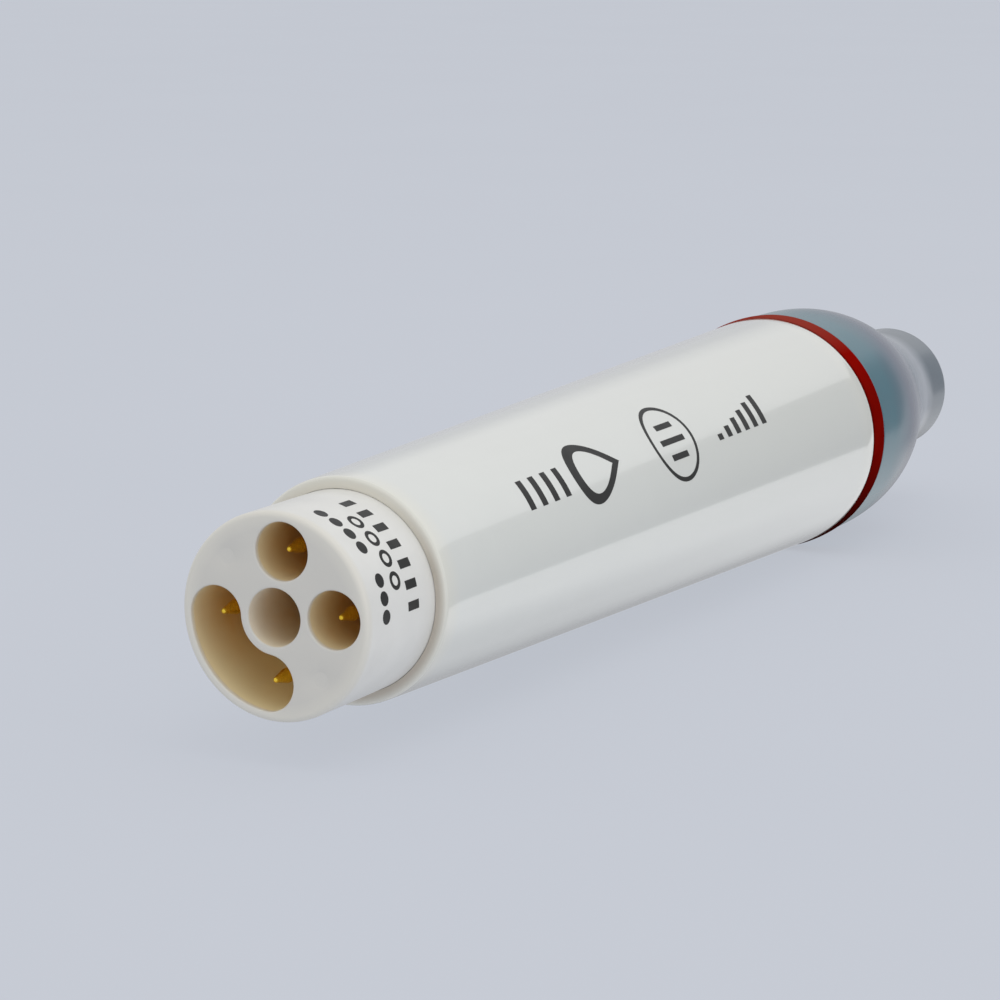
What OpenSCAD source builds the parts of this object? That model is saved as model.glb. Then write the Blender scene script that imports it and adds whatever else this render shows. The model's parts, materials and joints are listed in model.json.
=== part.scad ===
// Detachable piezo-electric scaler handpiece with a lamp.
// Frame: +Y runs along the axis from the connector face to the nose, +Z is up. The origin is
// the centre of the connector face. Each piece is drawn along local Z and then laid along +Y.

/* [Connector] */
// Radius of the plug-in barrel
barrel_r = 6.9; // [6.88:0.01:6.92]
// How far the barrel stands out of the shell
barrel_out = 8.9; // [8.5:0.1:9.5]
// Radius of the circle that the contact wells lie on
well_pitch_r = 4.38; // [4.3:0.01:4.45]
// Radius of the two round contact wells
well_r = 1.92; // [1.85:0.01:1.95]
// Half the width of the kidney-shaped well
kidney_half_w = 1.88; // [1.8:0.01:1.92]
// Depth of the wells and of the water bore
well_depth = 8; // [7:0.1:9]
// Radius of the water bore
water_bore_r = 1.92; // [1.8:0.01:1.95]
// Angle of the well pattern's line of symmetry, from +X towards +Z
key_angle = 42.8; // [0:0.1:90]
// Angle from that line to each round well
well_spread = 39.5; // [38:0.1:45]
// Angle from the line's far side to each end of the kidney-shaped well
kidney_spread = 40.3; // [38:0.1:45]
// Radius of the contact pins
pin_r = 0.5; // [0.4:0.01:0.6]
// Radius of the pins' tails, behind the shoulder that rests on the well's floor
pin_tail_r = 0.33; // [0.3:0.01:0.34]
// Depth of the pin tips below the connector face
pin_tip_depth = 0.9; // [0.6:0.1:1.5]

/* [Shell] */
// Outer radius at the rear lip
shell_rear_r = 7.75; // [7.7:0.01:7.9]
// Outer radius at the front
shell_front_r = 9.83; // [9.8:0.01:9.9]
// Length of the shell
shell_len = 72.6; // [72:0.1:73]
// Bore in the front of the shell that holds the neck
seat_r = 8.45; // [8.4:0.01:8.5]

/* [Nose cap] */
// Outer radius of the seal ring
ring_r = 9.95; // [9.85:0.01:10.05]
// Width of the seal ring
ring_w = 2.05; // [1.9:0.01:2.1]
// Largest outer radius of the cap
cap_base_r = 9.82; // [9.7:0.01:9.9]
// Outer radius of the cap's neck
cap_neck_r = 5.52; // [5.5:0.01:5.6]
// Length of the cap
cap_len = 28; // [27.8:0.05:28.1]
// Length of the S-shaped slope from the wide end to the neck
cap_slope_len = 21.2; // [21:0.1:21.4]
// How much the slope's steepest part is drawn towards the neck, 1 for none
cap_slope_skew = 1.22; // [1.15:0.01:1.25]
// Wall thickness of the cap
cap_wall = 1.08; // [1.06:0.01:1.1]
// Radius of the neck's thread
neck_thread_r = 7.4; // [7.35:0.01:7.42]

/* [Transducer] */
// Radius of the back mass, the stack and the rear of the horn
stack_r = 5; // [4.9:0.01:5]
// Thickness of one piezo disc
disc_t = 2; // [1.9:0.05:2]
// Thickness of one electrode
electrode_t = 0.2; // [0.1:0.05:0.2]
// Radius of the horn at the nose
horn_tip_r = 2.6; // [2.5:0.05:2.6]
// Radius of the threaded stub that a tip screws on to
stub_r = 1.5; // [1.4:0.05:1.5]
// How far the stub stands out of the horn
stub_len = 3; // [2.5:0.1:4]
// Radius of the water channel
channel_r = 0.6; // [0.4:0.05:0.6]

/* [Hidden] */
$fn = 96;

// Fits
slip = 0.02;         // between pieces that are pressed or glued together
running = 0.08;      // between pieces that move on each other
thread_gap = 0.1;    // between the two plain cylinders that stand for a thread
cut = 0.5;           // how far a cutter runs past the face that it opens

// Angles of the four pins
upper_angle = key_angle + well_spread;
side_angle = key_angle - well_spread;
kidney_start = key_angle + 180 - kidney_spread;
kidney_end = key_angle + 180 + kidney_spread;

// Connector, distances from its face
face_round = 0.33;   // rounding of the face's rim
well_lip = 0.4;      // white lip at each well's mouth, ahead of the tan lining
lining_t = 0.18;     // thickness of the wells' lining
socket_floor = 10.5; // front face of the barrel's solid part
cavity_r = 6;        // hollow in the front of the barrel
step_z = 20;         // step in the shell that the barrel's flange rests on
flange_r = 7.34;
flange_t = 2;
nut_t = 3;
nut_end_z = step_z + flange_t + nut_t;
seal_groove_z = 14.2;
seal_groove_w = 0.8;
seal_groove_r = barrel_r - 0.52;
seal_section_r = 0.26;
carrier_t = 1.5;
board_t = 1;
pin_tail = 1.2;      // length of pin behind the board
pin_end = socket_floor + carrier_t + board_t + pin_tail;
relief = 0.2;        // depth of the groove round the barrel, just inside the shell's lip
relief_w = 0.65;
relief_z = barrel_out - 0.05;
mark_r = 5;          // circle that the two ejector marks lie on
mark_size = 0.55;
mark_depth = 0.05;
pin_nose = [[0, 0.2], [0.1, 0.36], [1.6, 1]]; // [distance from the tip, share of the radius]
board_gap = 0.1;     // round the pin board and round the tube that passes it
nut_slot_w = 1.2;
nut_slot_depth = 0.8;

// Shell
nose_z = barrel_out + shell_len;
lip_in = 0.05;       // rounding of the rear lip's inner and outer edges
lip_out = 0.3;
shell_bore_r = barrel_r + 0.03;
nut_bore_r = flange_r + slip;
taper_end_z = 62;    // where the inner taper meets the front bore
edge_round = 0.25;

// Neck
neck_rear_z = 72;
neck_land_r = 7.6;
land_len = 2.85;
neck_end_z = 91;
neck_chamfer = 0.4;
neck_room_r = 7.2;   // room for the lamp wires to turn inwards
neck_room_len = 7;
neck_waist_r = 5.3;
neck_bore_r = 5.9;
lamp_board_z = 86;
lamp_board_t = 0.9;
lamp_board_in_r = 3.2;
lamp_count = 6;
lamp_size = [1, 1.2, 0.7];
lamp_pitch_r = 4.6;

// Cap and ring
ring_z = nose_z + 0.1;
cap_z = ring_z + ring_w + 0.05;
cap_end_z = cap_z + cap_len;
spigot_r = 8.25;     // ring's spigot, which centres it in the cap
spigot_len = 1;
cap_thread_end_z = neck_end_z + 0.6;
cap_room_r = 6.6;
cap_bore_z = [99, 106]; // where the cap's bore narrows with its outside
spigot_pocket = spigot_len + 0.2;
cap_slope_z = cap_z + 3.1;
cap_end_round = 0.7;
nose_seal_z = 107.5;
nose_seal_section_r = 0.35;
nose_seal_groove = 0.52; // depth of its groove in the cap
nose_seal_groove_r = cap_neck_r - cap_wall + nose_seal_groove;
nose_seal_gap = 0.05; // between the seal and the light pipe

// Light pipe
pipe_z = 87.7;
pipe_flange_len = 2.3;
pipe_r = 5.7;
pipe_nose_r = 4.2;
pipe_in_r = 3.15;
pipe_end_z = 110.3;
pipe_taper_z = [97, 103.5];
pipe_chamfer = 0.2;
horn_seal_z = 106.9;
horn_seal_len = 1.2;
horn_seal_r = 3.6;

// Transducer, distances from the connector face
bolt_head_z = 24;
bolt_head_len = 3;
bolt_head_r = 3.3;
bolt_r = 2;
bolt_in_horn = 10.7;
tube_r = 1;
tube_end_z = 25.5;
socket_in_bolt_r = 1.68;
socket_in_bolt_len = 2;
tube_seal_section_r = 0.3;
tube_seal_pocket = 1;
bolt_gap = 0.05;     // between the bolt and the pieces that it passes through
chamfer = 0.3;       // on the horn's end and its stub
back_mass_chamfer = 0.5;
back_mass_z = bolt_head_z + bolt_head_len;
back_mass_len = 15;
stack_z = back_mass_z + back_mass_len;
disc_pitch = disc_t + electrode_t;
disc_in_r = 2.5;
horn_z = stack_z + 4 * disc_pitch;
node_z = 67;         // flange at the horn's node of vibration
node_t = 2;
node_r = 5.9;
cone_z = [70, 84];   // where the horn narrows
horn_end_z = 111.5;
bolt_hole_end_z = 62;
tab_r = 6;           // how far an electrode's solder tab reaches
tab_w = 1.4;

// Node rings, sleeve and wires
rear_node_z = 30;
rear_node_len = 4;
rear_node_r = 7.45;
front_node_z = 64;
sleeve_r = 6.4;
sleeve_t = 0.3;
drive_lead_r = 0.32;
drive_lead_track = 5.65;
lamp_lead_r = 0.28;
lamp_lead_track = 6.78;
lamp_lead_end_track = 4.8;
lead_slip = 0.05;    // round a wire in the hole that it passes through
lead_turn_z = [15.2, 18.5];
lamp_lead_turn_z = [25.5, 29.2]; // where the lamp wires turn outwards, ahead of the nut
neck_turn_z = [73, 78.2];
bend_steps = 6;
lead_sides = 8;
lead_gap = 0.12;     // between a wire's end and the vibrating electrode

// S-shaped blend from 1 at t = 0 to 0 at t = 1
function blend(t) = 0.5 + 0.5 * cos(180 * min(max(t, 0), 1));
function cap_r(z) = cap_neck_r + (cap_base_r - cap_neck_r)
    * blend(pow(max(z - cap_slope_z, 0) / cap_slope_len, cap_slope_skew));
function horn_r(z) =
    horn_tip_r + (stack_r - horn_tip_r) * blend((z - cone_z[0]) / (cone_z[1] - cone_z[0]));
function pipe_out_r(z) = pipe_nose_r + (pipe_r - pipe_nose_r)
    * blend((z - pipe_taper_z[0]) / (pipe_taper_z[1] - pipe_taper_z[0]));
function steps(z0, z1, n) = [for (i = [0 : n]) z0 + (z1 - z0) * i / n];
function arc(cr, cz, r, a0, a1, n = 8) =
    [for (i = [0 : n]) let (a = a0 + (a1 - a0) * i / n) [cr + r * cos(a), cz + r * sin(a)]];

// Lays a piece that is drawn along local Z along +Y
module lay() rotate([-90, 0, 0]) children();

// Places its children on a circle round the axis, at an angle from +X towards +Z
module at(angle, r) rotate([0, 0, -angle]) translate([r, 0, 0]) children();

module rod(r, z0, z1) translate([0, 0, z0]) cylinder(r = r, h = z1 - z0);

module tube(r_out, r_in, z0, z1) difference() {
    rod(r_out, z0, z1);
    rod(r_in, z0 - cut, z1 + cut);
}

module o_ring(r, section_r, z)
    translate([0, 0, z]) rotate_extrude() translate([r, 0]) circle(r = section_r, $fn = 32);

// Outline of the kidney-shaped well: outer arc, round end, inner arc, round end
function on_circle(r, angle) = [r * cos(angle), -r * sin(angle)];
function kidney_arc(r, a0, a1, n) = [for (i = [1 : n]) on_circle(r, a0 + (a1 - a0) * i / n)];
function round_end(w, angle, a0, a1, n) =
    [for (p = kidney_arc(w, a0, a1, n)) on_circle(well_pitch_r, angle) + p];
function kidney_outline(w) = concat(
    kidney_arc(well_pitch_r + w, kidney_start, kidney_end, 20),
    round_end(w, kidney_end, kidney_end, kidney_end + 180, 12),
    kidney_arc(well_pitch_r - w, kidney_end, kidney_start, 14),
    round_end(w, kidney_start, kidney_start + 180, kidney_start + 360, 12)
);

// The kidney-shaped well as a solid
module kidney(half_w, z0, z1)
    translate([0, 0, z0]) linear_extrude(z1 - z0) polygon(kidney_outline(half_w));

// All three contact wells as solids, grown by extra
module wells(extra, z0, z1) {
    for (angle = [upper_angle, side_angle])
        at(angle, well_pitch_r) rod(well_r + extra, z0, z1);
    kidney(kidney_half_w + extra, z0, z1);
}

module handle_shell() color("whitesmoke") lay() rotate_extrude() polygon(concat(
    arc(shell_bore_r + lip_in, barrel_out + lip_in, lip_in, 180, 270, 3),
    arc(shell_rear_r - lip_out, barrel_out + lip_out, lip_out, 270, 360, 6),
    arc(shell_front_r - edge_round, nose_z - edge_round, edge_round, 0, 90, 6),
    [
        [seat_r, nose_z],
        [seat_r, taper_end_z],
        [nut_bore_r, nut_end_z],
        [nut_bore_r, step_z],
        [shell_bore_r, step_z]
    ]
));

module socket_insert() color("white") lay() difference() {
    rotate_extrude() polygon(concat(
        [[0, 0]],
        arc(barrel_r - face_round, face_round, face_round, 270, 360, 6),
        [
            [barrel_r, relief_z],
            [barrel_r - relief, relief_z],
            [barrel_r - relief, relief_z + relief_w],
            [barrel_r, relief_z + relief_w],
            [barrel_r, seal_groove_z - seal_groove_w / 2],
            [seal_groove_r, seal_groove_z - seal_groove_w / 2],
            [seal_groove_r, seal_groove_z + seal_groove_w / 2],
            [barrel_r, seal_groove_z + seal_groove_w / 2],
            [barrel_r, step_z],
            [flange_r, step_z],
            [flange_r, step_z + flange_t],
            [cavity_r, step_z + flange_t],
            [cavity_r, socket_floor],
            [0, socket_floor]
        ]
    ));
    wells(0, -cut, well_lip + cut);
    wells(lining_t, well_lip, socket_floor + cut);
    rod(water_bore_r, -cut, well_depth);
    rod(tube_r + slip, well_depth - cut, socket_floor + cut);
    rod(tube_r + 2 * tube_seal_section_r, socket_floor - tube_seal_pocket, socket_floor + cut);
    for (angle = [key_angle + 90, key_angle - 90])
        at(angle, mark_r) rod(mark_size, -cut, mark_depth);
}

module pin_carrier() color("tan") lay() difference() {
    union() {
        rod(cavity_r - slip, socket_floor, socket_floor + carrier_t);
        wells(lining_t - slip, well_lip + slip, socket_floor + cut);
    }
    wells(0, -cut, well_depth);
    rod(tube_r + slip, socket_floor - cut, socket_floor + carrier_t + cut);
    for (angle = [upper_angle, side_angle, kidney_start, kidney_end])
        at(angle, well_pitch_r) rod(pin_tail_r + slip, well_depth - cut, pin_end);
}

// One contact pin: pointed tip, plain shank and a thinner tail
module pin(angle) color("gold") lay() at(angle, well_pitch_r) rotate_extrude() polygon(concat(
    [[0, pin_tip_depth]],
    [for (p = pin_nose) [p[1] * pin_r, pin_tip_depth + p[0]]],
    [
        [pin_r, well_depth],
        [pin_tail_r, well_depth],
        [pin_tail_r, pin_end],
        [0, pin_end]
    ]
));
module drive_pin_upper() pin(upper_angle);
module drive_pin_side() pin(side_angle);
module lamp_pin_side() pin(kidney_start);
module lamp_pin_lower() pin(kidney_end);

module pin_board() color("darkgreen") lay() difference() {
    rod(cavity_r - board_gap, socket_floor + carrier_t, socket_floor + carrier_t + board_t);
    rod(tube_r + board_gap, socket_floor, socket_floor + carrier_t + board_t + cut);
    for (angle = [upper_angle, side_angle, kidney_start, kidney_end])
        at(angle, well_pitch_r) rod(pin_tail_r + slip, socket_floor, pin_end);
}

module socket_seal() color("black") lay()
    o_ring(seal_groove_r + seal_section_r + slip / 2, seal_section_r, seal_groove_z);

module retaining_nut() color("silver") lay() difference() {
    rod(flange_r, step_z + flange_t, nut_end_z);
    rod(cavity_r, step_z, nut_end_z + cut);
    for (angle = [0, 90])
        rotate([0, 0, angle])
            translate([-flange_r - cut, -nut_slot_w / 2, nut_end_z - nut_slot_depth])
                cube([2 * (flange_r + cut), nut_slot_w, nut_slot_depth + cut]);
}

module water_tube() color("silver") lay() tube(tube_r, channel_r, well_depth, tube_end_z);
module tube_seal_rear() color("black") lay()
    o_ring(tube_r + tube_seal_section_r, tube_seal_section_r,
           socket_floor - tube_seal_pocket / 2);
module tube_seal_front() color("black") lay()
    o_ring(tube_r + tube_seal_section_r, tube_seal_section_r,
           bolt_head_z + tube_seal_pocket);

// Holes for the wires through a node ring
module lead_holes(z0, z1) {
    for (angle = [kidney_start, kidney_end])
        at(angle, lamp_lead_track) rod(lamp_lead_r + lead_slip, z0, z1);
}

module rear_node_ring() color("gray") lay() difference() {
    tube(rear_node_r, stack_r + running, rear_node_z, rear_node_z + rear_node_len);
    lead_holes(rear_node_z - cut, rear_node_z + rear_node_len + cut);
    for (angle = [upper_angle, side_angle])
        at(angle, drive_lead_track)
            rod(drive_lead_r + lead_slip, rear_node_z - cut, rear_node_z + rear_node_len + cut);
}

module front_node_ring() color("gray") lay() difference() {
    tube(seat_r - slip, stack_r + running, front_node_z, neck_rear_z);
    rod(node_r + running, node_z - running, node_z + node_t + running);
    lead_holes(front_node_z - cut, neck_rear_z + cut);
}

module stack_sleeve() color("khaki") lay()
    tube(sleeve_r, sleeve_r - sleeve_t, rear_node_z + rear_node_len, front_node_z);

// A round wire in the plane at one angle, through the points [distance from the axis, z]
module lead(angle, path, r) {
    n = len(path);
    ring_points = [
        for (i = [0 : n - 1])
            let (
                run = path[min(i + 1, n - 1)] - path[max(i - 1, 0)],
                t = run / norm(run)
            )
            for (k = [0 : lead_sides - 1])
                let (a = 360 * k / lead_sides)
                [path[i][0] + r * cos(a) * t[1], r * sin(a), path[i][1] - r * cos(a) * t[0]]
    ];
    sides = [
        for (i = [0 : n - 2])
            for (k = [0 : lead_sides - 1])
                let (m = (k + 1) % lead_sides)
                [i * lead_sides + k, (i + 1) * lead_sides + k,
                 (i + 1) * lead_sides + m, i * lead_sides + m]
    ];
    first = [for (k = [0 : lead_sides - 1]) k];
    last = [for (k = [lead_sides - 1 : -1 : 0]) (n - 1) * lead_sides + k];
    rotate([0, 0, -angle]) polyhedron(ring_points, concat(sides, [first, last]), 10);
}

// An S-bend from one track to another
function turn(track0, track1, z_range) = [
    for (i = [0 : bend_steps])
        let (t = i / bend_steps)
        [track1 + (track0 - track1) * blend(t), z_range[0] + (z_range[1] - z_range[0]) * t]
];

module drive_lead(angle, end_z) color("crimson") lay() lead(angle, concat(
    [[well_pitch_r, pin_end]],
    turn(well_pitch_r, drive_lead_track, lead_turn_z),
    [[drive_lead_track, end_z - lead_gap]]
), drive_lead_r);
module drive_lead_upper() drive_lead(upper_angle, stack_z);
module drive_lead_side() drive_lead(side_angle, stack_z + disc_pitch);

module lamp_lead(angle) color("royalblue") lay() lead(angle, concat(
    [[well_pitch_r, pin_end]],
    turn(well_pitch_r, drive_lead_track, lead_turn_z),
    turn(drive_lead_track, lamp_lead_track, lamp_lead_turn_z),
    turn(lamp_lead_track, lamp_lead_end_track, neck_turn_z),
    [[lamp_lead_end_track, lamp_board_z]]
), lamp_lead_r);
module lamp_lead_side() lamp_lead(kidney_start);
module lamp_lead_lower() lamp_lead(kidney_end);

module front_neck() color("silver") lay() rotate_extrude() polygon([
    [neck_room_r, neck_rear_z],
    [seat_r - slip, neck_rear_z],
    [seat_r - slip, nose_z],
    [neck_land_r, nose_z],
    [neck_land_r, nose_z + land_len],
    [neck_thread_r, nose_z + land_len],
    [neck_thread_r, neck_end_z - neck_chamfer],
    [neck_thread_r - neck_chamfer, neck_end_z],
    [neck_bore_r, neck_end_z],
    [neck_bore_r, lamp_board_z],
    [neck_waist_r, lamp_board_z],
    [neck_waist_r, neck_rear_z + neck_room_len],
    [neck_room_r, neck_rear_z + neck_room_len]
]);

module lamp_board() color("darkgreen") lay()
    tube(neck_bore_r - slip, lamp_board_in_r, lamp_board_z, lamp_board_z + lamp_board_t);

module lamps() color("ivory") lay() for (i = [0 : lamp_count - 1])
    at(360 * i / lamp_count + kidney_start + 30, lamp_pitch_r)
        translate([-lamp_size[0] / 2, -lamp_size[1] / 2, lamp_board_z + lamp_board_t])
            cube(lamp_size);

module light_pipe() color("lightcyan") lay() rotate_extrude() polygon(concat(
    [
        [pipe_in_r, pipe_z],
        [neck_bore_r - slip, pipe_z],
        [neck_bore_r - slip, pipe_z + pipe_flange_len]
    ],
    [for (z = steps(pipe_taper_z[0], pipe_taper_z[1], 12)) [pipe_out_r(z), z]],
    [
        [pipe_nose_r, pipe_end_z - pipe_chamfer],
        [pipe_nose_r - pipe_chamfer, pipe_end_z],
        [pipe_in_r, pipe_end_z],
        [pipe_in_r, horn_seal_z + horn_seal_len],
        [horn_seal_r, horn_seal_z + horn_seal_len],
        [horn_seal_r, horn_seal_z],
        [pipe_in_r, horn_seal_z]
    ]
));

module horn_seal() color("white") lay()
    tube(horn_seal_r - slip, horn_tip_r + running, horn_seal_z + slip,
         horn_seal_z + horn_seal_len - slip);

module seal_ring() color("darkred") lay() rotate_extrude() polygon(concat(
    [
        [neck_land_r + running, ring_z],
        [ring_r - edge_round, ring_z]
    ],
    arc(ring_r - edge_round, ring_z + edge_round, edge_round, 270, 360, 6),
    arc(ring_r - edge_round, ring_z + ring_w - edge_round, edge_round, 0, 90, 6),
    [
        [spigot_r, ring_z + ring_w],
        [spigot_r, ring_z + ring_w + spigot_len],
        [neck_land_r + running, ring_z + ring_w + spigot_len]
    ]
));

module nose_cap() color("slategray") lay() rotate_extrude() polygon(concat(
    [
        [spigot_r + running, cap_z],
        [cap_base_r - edge_round, cap_z]
    ],
    arc(cap_base_r - edge_round, cap_z + edge_round, edge_round, 290, 360, 5),
    [for (z = steps(cap_slope_z, cap_end_z - cap_end_round, 32)) [cap_r(z), z]],
    arc(cap_neck_r - cap_end_round, cap_end_z - cap_end_round, cap_end_round, 15, 90, 6),
    [
        [cap_neck_r - cap_wall, cap_end_z],
        [cap_neck_r - cap_wall, nose_seal_z + nose_seal_section_r],
        [nose_seal_groove_r, nose_seal_z + nose_seal_section_r],
        [nose_seal_groove_r, nose_seal_z - nose_seal_section_r],
        [cap_neck_r - cap_wall, nose_seal_z - nose_seal_section_r]
    ],
    [for (z = steps(cap_bore_z[1], cap_bore_z[0], 6)) [min(cap_r(z) - cap_wall, cap_room_r), z]],
    [
        [cap_room_r, cap_thread_end_z + neck_thread_r + thread_gap - cap_room_r],
        [neck_thread_r + thread_gap, cap_thread_end_z],
        [neck_thread_r + thread_gap, cap_z + spigot_pocket],
        [spigot_r + running, cap_z + spigot_pocket]
    ]
));

module nose_seal() color("black") lay()
    o_ring(pipe_nose_r + nose_seal_gap + nose_seal_section_r, nose_seal_section_r - slip,
           nose_seal_z);

module back_mass() color("dimgray") lay() difference() {
    rotate_extrude() polygon([
        [0, back_mass_z],
        [stack_r - back_mass_chamfer, back_mass_z],
        [stack_r, back_mass_z + back_mass_chamfer],
        [stack_r, stack_z],
        [0, stack_z]
    ]);
    rod(bolt_r + bolt_gap, back_mass_z - cut, stack_z + cut);
}

// Disc 1 is the one next to the horn
module piezo_disc(i) color("darkkhaki") lay()
    tube(stack_r, disc_in_r, horn_z - i * disc_pitch + electrode_t,
         horn_z - i * disc_pitch + disc_pitch);
module piezo_disc_1() piezo_disc(1);
module piezo_disc_2() piezo_disc(2);
module piezo_disc_3() piezo_disc(3);
module piezo_disc_4() piezo_disc(4);

// Electrode 1 lies behind disc 1. Its tab points to the side, and every second one's upwards.
module electrode(i) color("orange") lay() {
    z0 = horn_z - i * disc_pitch;
    angle = i % 2 == 1 ? side_angle : upper_angle;
    difference() {
        union() {
            rod(stack_r, z0, z0 + electrode_t);
            rotate([0, 0, -angle]) translate([0, -tab_w / 2, z0])
                cube([tab_r, tab_w, electrode_t]);
        }
        rod(disc_in_r, z0 - cut, z0 + cut);
    }
}
module electrode_1() electrode(1);
module electrode_2() electrode(2);
module electrode_3() electrode(3);
module electrode_4() electrode(4);

// Wire that joins an electrode's tab to that of the next but one
module electrode_jumper(angle, z0) color("orange") lay() at(angle, drive_lead_track)
    rod(drive_lead_r, z0 + electrode_t, z0 + 2 * disc_pitch);
module electrode_jumper_upper() electrode_jumper(upper_angle, stack_z);
module electrode_jumper_side() electrode_jumper(side_angle, stack_z + disc_pitch);

module preload_bolt() color("silver") lay() difference() {
    union() {
        translate([0, 0, bolt_head_z]) cylinder(r = bolt_head_r, h = bolt_head_len, $fn = 6);
        rod(bolt_r, back_mass_z, horn_z + bolt_in_horn);
    }
    rod(socket_in_bolt_r, bolt_head_z - cut, bolt_head_z + socket_in_bolt_len);
    rod(channel_r, bolt_head_z, horn_z + bolt_in_horn + cut);
}

module bolt_sleeve() color("white") lay()
    tube(disc_in_r - bolt_gap, bolt_r + bolt_gap, stack_z, horn_z);

module horn() color("lightsteelblue") lay() difference() {
    rotate_extrude() polygon(concat(
        [
            [0, horn_z],
            [stack_r, horn_z],
            [stack_r, node_z],
            [node_r, node_z],
            [node_r, node_z + node_t],
            [stack_r, node_z + node_t]
        ],
        [for (z = steps(cone_z[0], cone_z[1], 16)) [horn_r(z), z]],
        [
            [horn_tip_r, horn_end_z - chamfer],
            [horn_tip_r - chamfer, horn_end_z],
            [stub_r, horn_end_z],
            [stub_r, horn_end_z + stub_len - chamfer],
            [stub_r - chamfer, horn_end_z + stub_len],
            [0, horn_end_z + stub_len]
        ]
    ));
    rod(bolt_r + slip, horn_z - cut, bolt_hole_end_z);
    rod(channel_r, horn_z, horn_end_z + stub_len + cut);
}

handle_shell();
socket_insert();
pin_carrier();
drive_pin_upper();
drive_pin_side();
lamp_pin_side();
lamp_pin_lower();
pin_board();
socket_seal();
retaining_nut();
water_tube();
tube_seal_rear();
tube_seal_front();
rear_node_ring();
front_node_ring();
stack_sleeve();
drive_lead_upper();
drive_lead_side();
lamp_lead_side();
lamp_lead_lower();
front_neck();
lamp_board();
lamps();
light_pipe();
horn_seal();
seal_ring();
nose_cap();
nose_seal();
back_mass();
piezo_disc_1();
piezo_disc_2();
piezo_disc_3();
piezo_disc_4();
electrode_1();
electrode_2();
electrode_3();
electrode_4();
electrode_jumper_upper();
electrode_jumper_side();
preload_bolt();
bolt_sleeve();
horn();
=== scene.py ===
import json
import math

import bmesh
import bpy
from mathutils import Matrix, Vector


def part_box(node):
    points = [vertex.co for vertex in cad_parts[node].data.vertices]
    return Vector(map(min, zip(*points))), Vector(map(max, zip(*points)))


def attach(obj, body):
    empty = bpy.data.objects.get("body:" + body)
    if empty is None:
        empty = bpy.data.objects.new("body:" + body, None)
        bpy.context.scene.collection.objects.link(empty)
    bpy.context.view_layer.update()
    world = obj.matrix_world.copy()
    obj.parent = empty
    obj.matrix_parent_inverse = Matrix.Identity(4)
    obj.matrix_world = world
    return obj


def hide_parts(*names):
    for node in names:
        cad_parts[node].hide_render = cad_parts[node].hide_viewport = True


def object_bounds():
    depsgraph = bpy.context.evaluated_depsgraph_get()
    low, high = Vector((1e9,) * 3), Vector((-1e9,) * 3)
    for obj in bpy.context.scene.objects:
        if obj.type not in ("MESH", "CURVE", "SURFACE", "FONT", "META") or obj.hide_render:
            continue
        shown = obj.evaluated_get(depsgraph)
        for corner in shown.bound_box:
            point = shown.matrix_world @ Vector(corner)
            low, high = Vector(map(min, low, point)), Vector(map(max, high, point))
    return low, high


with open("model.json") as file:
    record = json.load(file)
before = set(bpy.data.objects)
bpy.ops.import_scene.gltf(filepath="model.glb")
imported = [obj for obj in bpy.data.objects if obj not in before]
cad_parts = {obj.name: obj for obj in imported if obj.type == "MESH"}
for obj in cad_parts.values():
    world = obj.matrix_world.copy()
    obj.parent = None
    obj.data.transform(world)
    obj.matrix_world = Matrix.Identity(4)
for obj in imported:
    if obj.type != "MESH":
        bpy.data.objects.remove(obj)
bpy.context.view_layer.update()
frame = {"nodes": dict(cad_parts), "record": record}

MM = 0.001
FULL = 2 * math.pi

# ---------------------------------------------------------------- sizes


def reach(node):
    """Largest distance from the axis and the lowest and highest place along it, in metres."""
    low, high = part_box(node)
    return (high.x - low.x) / 2, low.y, high.y


def pin_centre(node):
    """Where a contact pin stands, to the right and up from the axis, in metres."""
    low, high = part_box(node)
    return (low.x + high.x) / 2, (low.z + high.z) / 2


def pin_angle(node):
    """Angle of a contact pin round the axis, from +X towards +Z."""
    x, z = pin_centre(node)
    return math.atan2(z, x) % FULL


def mount_size(name, key):
    return mounts[name]["dims"][key] * MM


# read from the frame
SHELL_R, SHELL_Y0, SHELL_Y1 = reach("handle_shell")
RING_R, RING_Y0, RING_Y1 = reach("seal_ring")
CAP_R, CAP_Y0, CAP_Y1 = reach("nose_cap")
PIPE_Y0, PIPE_Y1 = reach("light_pipe")[1:]
NECK_R, NECK_Y0, NECK_Y1 = reach("front_neck")
HORN_Y0, HORN_Y1 = reach("horn")[1:]
WIPER_R, WIPER_Y0, WIPER_Y1 = reach("horn_seal")
NOSE_SEAL_Y0, NOSE_SEAL_Y1 = reach("nose_seal")[1:]
INSERT_Y1 = reach("socket_insert")[2]
mounts = {mount["name"]: mount for mount in frame["record"]["mounts"]}
BARREL_R = mount_size("socket_barrel", "r_mm")
BORE_R = mount_size("water_bore", "r_mm")
WELL_DEPTH = mount_size("water_bore", "length_mm")
STUB_R = mount_size("tip_stud", "r_mm")
PIN_R = mount_size("drive_pin_upper_contact", "r_mm")
TIP_SEAT_Y = mounts["tip_seat"]["pos_m"][1]
PITCH_R = math.hypot(*pin_centre("drive_pin_upper"))
UPPER_ANGLE = pin_angle("drive_pin_upper")
SIDE_ANGLE = pin_angle("drive_pin_side")
KIDNEY_START = pin_angle("lamp_pin_side")
KIDNEY_END = pin_angle("lamp_pin_lower")
KEY_ANGLE = (UPPER_ANGLE + SIDE_ANGLE) / 2

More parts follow.
